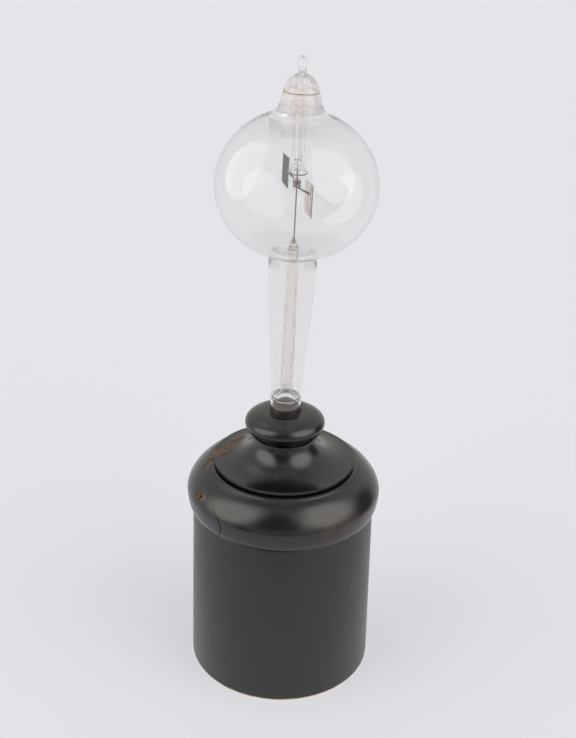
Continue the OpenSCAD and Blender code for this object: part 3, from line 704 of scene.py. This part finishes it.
class LIGHTMILL_OT_moulding(bpy.types.Operator):
    """Turn the rounded moulding, with its chips and its crack"""

    bl_idname = "light_mill.moulding"
    bl_label = "Moulding"

    def execute(self, context):
        wood = settings().wood
        drum_top, pedestal_z, _, _ = base_seats(wood)
        widest = (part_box("base_moulding")[1].x, drum_top + wood.widest_h)
        low = quarter(widest, (wood.drum_top_d / 2, drum_top))
        high = quarter(widest, (wood.rim_d / 2 + wood.shoulder_w, pedestal_z), 1.55, 24)
        high = scored(high, wood.score_r, wood.score_w, wood.score_h)
        bm = turn([(0, drum_top)] + low[::-1] + high[1:] + [(0, pedestal_z)], WOOD_STEPS)
        # The lower edge has lifted off the drum over 70 degrees at the front left, fading out 3 mm up
        start, span, fade = -150, 70, 3 * MM
        for vert in bm.verts:
            turned = math.degrees(math.atan2(vert.co.y, vert.co.x)) - start
            if vert.co.z < drum_top + fade and 0 < turned < span:
                near = (1 - (vert.co.z - drum_top) / fade) * math.sin(math.pi * turned / span) ** 2
                vert.co.z += wood.seam_lift * near
        wear(finish_wood(bm, "moulding", "base_moulding"), MOULDING_MARKS)
        return {"FINISHED"}


class LIGHTMILL_OT_pedestal(bpy.types.Operator):
    """Turn the pedestal, with its thin rim and its hollow curve"""

    bl_idname = "light_mill.pedestal"
    bl_label = "Pedestal"

    def execute(self, context):
        wood = settings().wood
        _, pedestal_z, groove_z, _ = base_seats(wood)
        rim_z = pedestal_z + wood.rim_gap_h
        rim_r = wood.rim_d / 2
        hollow = quarter((wood.pedestal_top_d / 2, groove_z), (rim_r, rim_z + wood.rim_t), steps=32)
        neck_r = rim_r - wood.rim_undercut
        bm = turn([(0, pedestal_z), (neck_r, pedestal_z), (neck_r, rim_z), (rim_r, rim_z)] + hollow[::-1]
                  + [(0, groove_z)], WOOD_STEPS)
        # The rim stands higher on the left than on the right, from 22 mm out
        for vert in bm.verts:
            outer = min(max((math.hypot(vert.co.x, vert.co.y) - 22 * MM) / (6 * MM), 0), 1)
            if vert.co.z > pedestal_z + 0.01 * MM:
                vert.co.z -= wood.rim_tilt * outer * vert.co.x / rim_r
        wear(finish_wood(bm, "pedestal_turned", "pedestal"), PEDESTAL_MARKS)
        return {"FINISHED"}


class LIGHTMILL_OT_knob(bpy.types.Operator):
    """Turn the knob that holds the glass, with the deep groove under it"""

    bl_idname = "light_mill.knob"
    bl_label = "Knob"

    def execute(self, context):
        wood = settings().wood
        _, _, groove_z, knob_z = base_seats(wood)
        widest = (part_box("socket_knob")[1].x, knob_z + wood.knob_widest_h)
        groove_r, socket_r = wood.groove_d / 2, wood.socket_d / 2
        socket_z = KNOB_TOP - wood.socket_depth
        low = quarter(widest, (groove_r + wood.knob_flat_w, knob_z))
        high = quarter(widest, (socket_r, KNOB_TOP), steps=24)
        bm = turn([(0, groove_z), (groove_r, groove_z), (groove_r, knob_z)] + low[::-1] + high[1:]
             + [(socket_r, socket_z), (0, socket_z)], WOOD_STEPS)
        finish_wood(bm, "knob", "socket_knob")
        return {"FINISHED"}


# Glass

# Reaches of the curves that ease the glass's joins, outside and inside
OUTER_EASE = {"tail": 0.8 * MM, "neck": 1.5 * MM, "crown": 0.8 * MM, "pinch": 0.2 * MM}
INNER_EASE = {"tail": 1.1 * MM, "neck": 4.5 * MM, "crown": 1 * MM}


class GlassPlaces:
    """Places in the glass, measured up its leaning axis from the top of the knob."""

    def __init__(self, glass):
        self.bulb_r, self.bulb_c = glass.bulb_d / 2, glass.bulb_h / 2
        self.low_turn = -math.acos(glass.tail_joint_d / glass.bulb_d)
        self.high_turn = math.acos(glass.neck_joint_d / glass.bulb_d)
        self.bulb = glass.tail_h - self.bulb_c * math.sin(self.low_turn)
        self.neck = self.bulb + self.bulb_c * math.sin(self.high_turn)
        self.weld = self.neck + glass.neck_h
        self.crown = self.weld + glass.weld_h
        self.pip = self.crown + glass.crown_h
        self.pinch = self.pip + glass.pinch_z
        self.pip_low = self.pip + glass.pip_low_z
        self.pip_top = self.pip + glass.pip_h
        self.seat = self.pip - glass.crown_wall
        self.stem_top = self.bulb - self.bulb_c + glass.stem_top_z
        self.tip_top = self.stem_top + glass.tip_h
        self.bore_r = glass.tube_d / 2 - glass.tail_wall
        self.stem_low = glass.stem_foot_z + glass.stem_foot_h


def glass_places():
    """The settings of the glass and its places."""
    glass = settings().glass
    return glass, GlassPlaces(glass)


def tail_points(glass, wall):
    """The tail's side from the straight tube to the bulb, this far in from its outside."""
    def point(t):
        radius = (glass.tube_d / 2 + (glass.tail_top_d - glass.tube_d) / 2 * math.sin(math.pi / 2 * t) ** 1.5
                  + (glass.tail_joint_d - glass.tail_top_d) / 2 * t ** 12)
        return radius - wall, glass.tube_straight_h + (glass.tail_h - glass.tube_straight_h) * t
    return along(24, point)


def bulb_points(glass, at, wall):
    """The bulb's side from the tail to the neck, this far in from its outside."""
    def point(t):
        up = at.low_turn + (at.high_turn - at.low_turn) * t
        return (at.bulb_r - wall) * math.cos(up), at.bulb + (at.bulb_c - wall) * math.sin(up)
    return along(72, point)


def neck_points(glass, at, wall):
    """The neck's side from the bulb to the weld, this far in from its outside."""
    def point(t):
        flare = 0.52 * (1 - t) + 0.48 * (1 - t) ** 5
        radius = glass.neck_top_d / 2 + (glass.neck_joint_d - glass.neck_top_d) / 2 * flare
        return radius - wall, at.neck + glass.neck_h * t
    return along(16, point)


def stem_r(glass, t):
    """The stem's radius this share of the way from its foot to its top."""
    return (glass.stem_d + (glass.stem_top_d - glass.stem_d) * t * t) / 2


def stem_points(glass, at, wall):
    """The stem's side from above its foot to its top, this far in from its outside."""
    return along(16, lambda t: (stem_r(glass, t) - wall, at.stem_low + (at.stem_top - at.stem_low) * t))


def tip_points(glass, at):
    """The drawn-in tip from the stem's top to its rounded end."""
    base_r, tip_r = glass.stem_top_d / 2, glass.tip_d / 2
    neck_top = glass.tip_h - tip_r
    drawn = along(16, lambda t: (base_r + (tip_r - base_r) * (1 - math.cos(math.pi * t)) / 2,
                                 at.stem_top + neck_top * t))
    return drawn[1:] + quarter((tip_r, at.stem_top + neck_top), (0, at.tip_top))[1:]


def outer_glass(glass, at):
    """The glass seen from outside, from the tube's end in the socket to the top of the pip."""
    pinch_r, pip_r = glass.pinch_d / 2, glass.pip_d / 2
    crown = quarter((glass.crown_d / 2, at.crown), (pinch_r + 0.2 * MM, at.pip), CROWN_POWER)
    pip = quarter((pip_r, at.pip_top - glass.pip_dome_h), (0, at.pip_top), PIP_POWER)
    side = [(glass.tube_d / 2, -glass.tube_depth)] + tail_points(glass, 0)
    side = eased(side, bulb_points(glass, at, 0), OUTER_EASE["tail"])
    side = eased(side, neck_points(glass, at, 0), OUTER_EASE["neck"])
    side = eased(side + [crown[0]], crown, OUTER_EASE["crown"])
    pinch = [crown[-1], (pinch_r, at.pinch), (pip_r, at.pip_low)]
    return eased(side, pinch, OUTER_EASE["pinch"])[:-1] + pip


def inner_glass(glass, at):
    """The wall of the sealed space, from the pip's hollow down round the guide tube, up the stem."""
    bore_r, pip_wall = glass.pip_bore_d / 2, (glass.pip_d - glass.pip_bore_d) / 2
    guide_r, bell_r = glass.guide_d / 2, glass.bell_d / 2
    guide_in, throat_r = guide_r - glass.guide_wall, glass.guide_bore_d / 2
    rim_z = at.bulb + glass.bell_rim_z
    bell_z, space_z = rim_z + glass.bell_h, rim_z + glass.guide_space_h
    pip = quarter((bore_r, at.pip_top - glass.pip_dome_h), (0, at.pip_top - pip_wall), PIP_POWER)[::-1]
    pinch = [(bore_r, at.pip_low), (glass.pinch_bore_d / 2, at.pinch), (throat_r, at.seat)]
    space = quarter((guide_in, space_z - guide_in), (throat_r, space_z), steps=8)[::-1]
    bell_in = quarter((guide_in, bell_z), (bell_r - 0.5 * glass.guide_wall, rim_z), BELL_POWER)
    lip = quarter((bell_r, rim_z + 0.25 * MM), (bell_r - 0.2 * MM, rim_z), steps=4)[::-1]
    bell_out = quarter((guide_r, bell_z), (bell_r, rim_z + glass.guide_wall), BELL_POWER)[::-1]
    crown_r, root_w = glass.crown_d / 2 - glass.crown_wall, 0.3 * MM
    crown_in = quarter((crown_r, at.crown), (guide_r + root_w, at.seat), CROWN_POWER)[::-1]
    side = pip + pinch + space + bell_in + lip + bell_out + [(guide_r, at.seat - root_w)] + crown_in
    side = eased(side, neck_points(glass, at, glass.neck_wall)[::-1], INNER_EASE["crown"])
    side = eased(side, bulb_points(glass, at, glass.bulb_wall)[::-1], INNER_EASE["neck"])
    side = eased(side, tail_points(glass, glass.tail_wall)[::-1], INNER_EASE["tail"])
    foot = quarter((glass.stem_d / 2, at.stem_low), (at.bore_r, glass.stem_foot_z + glass.foot_seal_h))[::-1]
    return side + foot + stem_points(glass, at, 0)[1:] + tip_points(glass, at)


def open_glass(glass, at):
    """The open underside, from the hollow of the stem down to the tube's end in the socket."""
    side = stem_points(glass, at, glass.stem_wall)[::-1]
    foot = quarter((glass.stem_d / 2 - glass.stem_wall, at.stem_low),
                   (at.bore_r - glass.stem_wall, glass.stem_foot_z))
    tube_end = [(at.bore_r, glass.stem_foot_z), (at.bore_r, -glass.tube_depth),
                (glass.tube_d / 2, -glass.tube_depth)]
    return [(0, at.stem_top + glass.stem_wall)] + side + foot[1:] + tube_end


def soften(bm, amount, spacing):
    """Moves the walls in and out together by a slow wave, as blown glass is never quite true."""
    for vert in bm.verts:
        radial = Vector((vert.co.x, vert.co.y, 0))
        wave = noise.noise(vert.co / spacing)
        vert.co += radial.normalized() * wave * amount * min(radial.length / (10 * MM), 1.0)


class LIGHTMILL_OT_glass(bpy.types.Operator):
    """Blow the sealed glass: tube, tail, bulb, neck, crown and pip, with the guide tube and stem fused in"""

    bl_idname = "light_mill.glass"
    bl_label = "Sealed glass"

    def execute(self, context):
        glass, at = glass_places()
        bm = turn(inner_glass(glass, at), settings().turn_steps)
        bmesh.ops.reverse_faces(bm, faces=bm.faces)
        turn(open_glass(glass, at) + outer_glass(glass, at), settings().turn_steps, bm)
        # The stem's faces, all within 3 mm of the axis, take the second material
        stem_reach, wave_h, wave_length = 3 * MM, 0.06 * MM, 26 * MM
        for face in bm.faces:
            middle = face.calc_center_median()
            if math.hypot(middle.x, middle.y) < stem_reach and at.stem_low < middle.z < at.tip_top:
                face.material_index = 1
        soften(bm, wave_h, wave_length)
        materials = [once("blown_soda_glass", blown_glass, glass), once("stem_glass", stem_glass, glass)]
        nodes = ["tail_tube", "bulb", "neck", "crown", "seal_pip", "guide_tube", "stem_tube", "stem_tip"]
        finish_piece(bm, "sealed_glass", materials, nodes)
        return {"FINISHED"}


class LIGHTMILL_OT_seams(bpy.types.Operator):
    """Draw the amber weld line under the crown and the brown seals of the stem's foot and top"""

    bl_idname = "light_mill.seams"
    bl_label = "Weld line and seals"

    def execute(self, context):
        glass, at = glass_places()
        steps = settings().turn_steps
        weld_r, seal_z = (glass.neck_top_d - glass.crown_wall) / 2, glass.stem_foot_z + glass.foot_seal_h
        # Radius, height, half thickness in mm and steps of each line
        weld = [(weld_r, (at.weld + at.crown) / 2, 0.3, steps)]
        seals = [(at.bore_r, seal_z + 0.6 * MM, 0.26, steps),
                 (at.bore_r, glass.stem_foot_z + 0.1 * MM, 0.15, steps),
                 (0.47 * glass.stem_top_d, at.stem_top + 0.2 * MM, 0.12, 64),
                 (0.27 * glass.stem_top_d, at.stem_top + 3.2 * MM, 0.12, 64)]
        for name, lines, stain, nodes in (
                ("weld_line", weld, once("amber_weld", seal_stain, glass.amber, 0.38), ["weld_ring"]),
                ("stem_seals", seals, once("stained_seals", seal_stain, glass.seal, 0.85), [])):
            bm = bmesh.new()
            for radius, height, half, steps in lines:
                hoop(bm, radius, height, half * MM, steps)
            finish_piece(bm, name, [stain], nodes)
        return {"FINISHED"}


class LIGHTMILL_OT_nubs(bpy.types.Operator):
    """Set the two glass nubs on the stem's side"""

    bl_idname = "light_mill.nubs"
    bl_label = "Nubs"

    def execute(self, context):
        glass, at = glass_places()
        bm = bmesh.new()
        for z in (at.stem_top - glass.nub_z, at.stem_top - glass.nub_z - glass.nub_step):
            radius = stem_r(glass, (z - at.stem_low) / (at.stem_top - at.stem_low))
            place = Matrix.Translation((radius + 0.1 * MM, 0, z))
            bmesh.ops.create_uvsphere(bm, u_segments=24, v_segments=16, radius=glass.nub_d / 2, matrix=place)
        finish_piece(bm, "nubs", [once("stem_glass", stem_glass, glass)], ["stem_nubs"])
        return {"FINISHED"}


class LIGHTMILL_OT_cement(bpy.types.Operator):
    """Pour the brown cement into the socket, with its collar round the tube"""

    bl_idname = "light_mill.cement"
    bl_label = "Cement"

    def execute(self, context):
        glass, at = glass_places()
        wood = settings().wood
        # The cement bites into the wood and the glass by its overlap, and stands up round the tube
        overlap, collar_h, collar_w = 0.03 * MM, 0.2 * MM, 0.1 * MM
        socket_r, socket_z = wood.socket_d / 2 - overlap, -wood.socket_depth
        tube_r, tube_z = glass.tube_d / 2 - overlap, -glass.tube_depth
        bore_r, fill_h = at.bore_r + overlap, 2.4 * MM
        bm = turn([(0, socket_z), (socket_r, socket_z), (socket_r, 0),
                   (glass.tube_d / 2 + collar_w, collar_h), (tube_r, collar_h), (tube_r, tube_z),
                   (bore_r, tube_z), (bore_r, fill_h), (0, fill_h - 0.2 * MM)], 128)
        cement = once("resin_cement", sealing_cement, glass)
        finish_piece(bm, "sealing_cement", [cement], ["cement"])
        return {"FINISHED"}


# Needle and rotor

class LIGHTMILL_OT_needle(bpy.types.Operator):
    """Grind the needle to its point"""

    bl_idname = "light_mill.needle"
    bl_label = "Needle"

    def execute(self, context):
        rotor = settings().rotor
        glass, at = glass_places()
        low = at.tip_top - rotor.needle_seat_h
        top = at.bulb + rotor.cap_top_z - rotor.cap_wall - rotor.pivot_clear
        needle_r = rotor.needle_d / 2
        bm = turn([(0, low), (needle_r, low), (needle_r, top - rotor.needle_point_h),
                  (0.03 * MM, top - 0.05 * MM), (0, top)], 32)
        steel = once("needle_steel", dull_metal, rotor.steel, "#77777B", 0.35, 2.0)
        finish_piece(bm, "ground_needle", [steel], ["needle"])
        return {"FINISHED"}


class LIGHTMILL_OT_cap(bpy.types.Operator):
    """Blow the tiny glass cap that turns on the needle's point"""

    bl_idname = "light_mill.cap"
    bl_label = "Pivot cap"

    def execute(self, context):
        rotor = settings().rotor
        glass, at = glass_places()
        cap_r = rotor.cap_d / 2
        inner_r = cap_r - rotor.cap_wall
        top = at.bulb + rotor.cap_top_z
        inner_top = top - rotor.cap_wall
        low = at.bulb - rotor.near_arm_z - rotor.wire_d / 2 - rotor.cap_skirt_h
        outside = quarter((cap_r, top - cap_r), (0, top))
        inside = quarter((inner_r, inner_top - 2 * inner_r), (0, inner_top))
        bm = turn(inside[::-1] + [(inner_r, low), (cap_r, low)] + outside, 64)
        finish_piece(bm, "pivot_cap_blown", [once("stem_glass", stem_glass, glass)],
                     ["pivot_cap"], "rotor")
        return {"FINISHED"}


def strand(bm, points, radius):
    """Adds a round wire along these points to the mesh."""
    line = bpy.data.curves.new("strand", "CURVE")
    line.dimensions = "3D"
    line.bevel_depth = radius
    line.bevel_resolution = 2
    line.use_fill_caps = True
    spline = line.splines.new("POLY")
    spline.points.add(len(points) - 1)
    for spot, point in zip(spline.points, points):
        spot.co = (*point, 1.0)
    carrier = bpy.data.objects.new("strand", line)
    mesh = bpy.data.meshes.new_from_object(carrier)
    skin = bmesh.new()
    skin.from_mesh(mesh)
    bmesh.ops.recalc_face_normals(skin, faces=skin.faces)
    add_skin(bm, skin)
    bpy.data.meshes.remove(mesh)
    bpy.data.objects.remove(carrier)
    bpy.data.curves.remove(line)


def arm_points(rotor, turned, height, rise, half):
    """One of an arm's two wires: a short twisted end, the eye round the cap, the twist out to the vane
    and the length that lies on the foil. half is 1 or -1 for the two wires."""
    radius, slack, lead = rotor.strand_d / 2, 0.02 * MM, 0.6 * MM
    eye = rotor.cap_d / 2 + radius + slack
    lap = rotor.vane_in_r - lead
    turn_out = Matrix.Rotation(turned, 4, "Z")

    def point(t):
        out = -rotor.arm_tail + (rotor.vane_in_r + rotor.wire_lap + rotor.arm_tail) * t
        on_foil = min(max((out - rotor.cap_loop) / (lap - rotor.cap_loop), 0), 1)
        # One and a quarter turns between the eye and the foil, where the wires lie one above the other
        twist = math.radians(450) * on_foil + math.radians(90) * min(out + rotor.cap_loop, 0) / MM
        gap = radius * 1.05
        if abs(out) < rotor.cap_loop:
            gap += (eye - gap) * math.cos(math.pi / 2 * out / rotor.cap_loop)
        across = half * gap * math.cos(twist) - on_foil * (rotor.vane_t / 2 + radius)
        climb = rise * out / rotor.vane_in_r
        return turn_out @ Vector((out, across, height + climb + half * gap * math.sin(twist)))
    return along(90, point)


class LIGHTMILL_OT_arms(bpy.types.Operator):
    """Twist the wires of the two arms round the cap, and wind the wire between them"""

    bl_idname = "light_mill.arms"
    bl_label = "Arms"

    def execute(self, context):
        rotor = settings().rotor
        glass, at = glass_places()
        wire = once("dull_brass_wire", dull_metal, rotor.wire, "#3E3524", 0.5, 1.5)
        for name, turned, height, rise in (
                ("near_arm", rotor.arm_turn, rotor.arm_lift - rotor.near_arm_z, rotor.arm_rise),
                ("far_arm", rotor.arm_turn + math.pi, rotor.far_arm_z, 0)):
            bm = bmesh.new()
            for half in (1, -1):
                strand(bm, arm_points(rotor, turned, at.bulb + height, rise, half), rotor.strand_d / 2)
            finish_piece(bm, name + "_twisted", [wire], [name], "rotor")
        bm = bmesh.new()
        # Four turns of a 0.3 mm wire, 0.35 mm apart and a little sunk into the cap
        half, sunk = 0.15 * MM, 0.03 * MM
        for height in (0.2, 0.55, 0.9, 1.25):
            hoop(bm, rotor.cap_d / 2 + half - sunk, at.bulb + height * MM, half, 48)
        winding = once("tinned_wire", dull_metal, "#D2C6CC", "#5A5055", 0.4, 0.5)
        finish_piece(bm, "hub_winding", [winding], ["hub_band"], "rotor")
        return {"FINISHED"}


class LIGHTMILL_OT_rotor_finish(bpy.types.Operator):
    """Give the foil and the soot their finishes"""

    bl_idname = "light_mill.rotor_finish"
    bl_label = "Foil and soot"

    def execute(self, context):
        rotor = settings().rotor
        foil = once("dull_foil", dull_foil, rotor)
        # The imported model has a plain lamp_black and a plain needle_steel of its own, and once finds those
        soot = once("lamp_black", lamp_black, rotor)
        for name, material in (("near_vane", foil), ("far_vane", foil), ("near_coat", soot),
                               ("far_coat", soot)):
            mesh = frame["nodes"][name].data
            mesh.materials.clear()
            mesh.materials.append(material)
        return {"FINISHED"}


# Stage

def soft_patch(add, sky, centre, radii, inner, turned=0):
    """1 inside a soft-edged oval patch of the sky, 0 outside it. Its centre and its radii are azimuth and
    elevation in degrees, and inner is the share of the radii that is fully inside."""
    moved = add("Mapping", {
        "Vector": sky, "Location": [math.radians(a) for a in (*centre, 0)],
        "Rotation": (0, 0, math.radians(turned)),
        "Scale": (math.radians(radii[0]), math.radians(radii[1]), 1)}, vector_type="TEXTURE")
    reach = add("VectorMath", {0: moved}, operation="LENGTH")
    return add("MapRange", {"Value": reach, "From Min": inner, "From Max": 1.0, "To Min": 1.0,
                                       "To Max": 0.0}, interpolation_type="SMOOTHSTEP")


def studio_light(stage):
    """Soft light from all round, with a large soft box on the left and on the right, and darker overhead,
    between the boxes and behind the right one. Azimuth 0 is the camera's side, 90 is the right."""
    world = bpy.data.worlds.new("studio")
    world.use_nodes = True
    world.node_tree.nodes.clear()
    add = partial(add_node, world.node_tree)
    way = add("TexCoord", output="Generated")
    way = add("SeparateXYZ", {"Vector": way}).node.outputs
    front = add("Math", {0: way["Y"], 1: -1.0}, operation="MULTIPLY")
    azimuth = add("Math", {0: way["X"], 1: front}, operation="ARCTAN2")
    elevation = add("Math", {0: way["Z"]}, operation="ARCSINE")
    sky = add("CombineXYZ", {"X": azimuth, "Y": elevation})
    light = add("MapRange", {
        "Value": elevation, "From Min": math.radians(55), "From Max": math.radians(76),
        "To Min": stage.pale_light, "To Max": stage.top_light}, interpolation_type="SMOOTHSTEP")
    # Centre, radii, inner share, turn and brightness of each patch
    for centre, radii, inner, turned, level in (
            ((-130, 57), (26, 17), 0.4, 0, 1.2), ((-8, 30), (33, 36), 0.7, 0, stage.dark_light),
            ((-2, 2), (28, 20), 0.4, 0, 0.4), ((0, -22), (75, 20), 0.5, 0, 0.42),
            ((-42, -4), (20, 15), 0.3, 0, 0.2), ((109, 2), (24, 32), 0.5, 0, 0.16),
            ((-66, 33), (48, 34), 0.5, 42, stage.left_light),
            ((61, 37), (46, 39), 0.5, 0, stage.right_light)):
        patch = soft_patch(add, sky, centre, radii, inner, turned)
        light = add("Mix", {"Factor": patch, "A": light, "B": level})
    # Clear glass sees the room paler, and the boxes dimmer with sharp edges, as two faint windows
    path = add("LightPath").node.outputs
    seen = add("Clamp", {"Value": light, "Min": stage.glass_low, "Max": 1.0})
    for centre, radii in (((-92, 22), (33, 40)), ((60, 30), (36, 42))):
        patch = soft_patch(add, sky, centre, radii, 0.9)
        seen = add("Mix", {"Factor": patch, "A": seen, "B": stage.glass_high})
    tone = linear(stage.backdrop)
    light = add("Mix", {"Factor": path["Is Singular Ray"], "A": light, "B": seen})
    light = add("Mix", {"Factor": path["Is Camera Ray"], "A": light, "B": max(tone[:3])})
    plain = add("Math", {0: path["Is Camera Ray"], 1: path["Is Singular Ray"]}, operation="MAXIMUM")
    cool = [c / max(tone[:3]) for c in tone]
    tint = add("Mix", {"Factor": plain, "A": linear(stage.warmth), "B": cool}, data_type="RGBA")
    glow = add("Background", {"Color": tint, "Strength": light})
    add("OutputWorld", {"Surface": glow})
    return world


class LIGHTMILL_OT_stage(bpy.types.Operator):
    """Lay the pale sweep, hang the soft boxes and place the camera"""

    bl_idname = "light_mill.stage"
    bl_label = "Stage"

    def execute(self, context):
        stage = settings().stage
        scene = context.scene
        bm = bmesh.new()
        bm.faces.new([bm.verts.new((x, y, 0)) for x, y in SWEEP_CORNERS])
        mesh = new_mesh("paper_sweep", bm, once("paper_sweep", studio_floor, stage))
        mesh.shade_smooth()
        new_object("paper_sweep", mesh)
        scene.world = studio_light(stage)
        camera = bpy.data.cameras.new("camera")
        camera.lens = stage.lens
        camera.clip_start, camera.clip_end = 0.01, 20.0
        eye = new_object("camera", camera)
        tilt = Matrix.Rotation(math.pi / 2 - stage.camera_pitch, 4, "X")
        roll = Matrix.Rotation(stage.camera_roll, 4, "Z")
        place = Matrix.Translation((stage.camera_side, -stage.camera_back, stage.camera_up))
        eye.matrix_world = place @ tilt @ roll
        scene.camera = eye
        scene.view_settings.view_transform = "Standard"
        for limit in ("max_bounces", "transmission_bounces", "transparent_max_bounces"):
            setattr(scene.cycles, limit, 32)
        return {"FINISHED"}


class LIGHTMILL_PT_panel(bpy.types.Panel):
    """Lists the light mill's steps in the sidebar"""

    bl_label = "Light Mill"
    bl_idname = "LIGHTMILL_PT_panel"
    bl_space_type = "VIEW_3D"
    bl_region_type = "UI"
    bl_category = "Light Mill"

    def draw(self, context):
        for step in STEPS:
            self.layout.operator(step.bl_idname)


GROUPS = (WoodSettings, GlassSettings, RotorSettings, StageSettings, LightMillSettings)
STEPS = (LIGHTMILL_OT_drum, LIGHTMILL_OT_moulding, LIGHTMILL_OT_pedestal, LIGHTMILL_OT_knob,
         LIGHTMILL_OT_glass, LIGHTMILL_OT_seams, LIGHTMILL_OT_nubs, LIGHTMILL_OT_cement,
         LIGHTMILL_OT_needle, LIGHTMILL_OT_cap, LIGHTMILL_OT_arms, LIGHTMILL_OT_rotor_finish,
         LIGHTMILL_OT_stage)


def register():
    for each in GROUPS + STEPS + (LIGHTMILL_PT_panel,):
        bpy.utils.register_class(each)
    bpy.types.Scene.light_mill = PointerProperty(type=LightMillSettings)


def unregister():
    del bpy.types.Scene.light_mill
    for each in reversed(GROUPS + STEPS + (LIGHTMILL_PT_panel,)):
        bpy.utils.unregister_class(each)


def main():
    register()
    for step in STEPS:
        group, name = step.bl_idname.split(".")
        getattr(getattr(bpy.ops, group), name)()


if __name__ == "__main__":
    main()
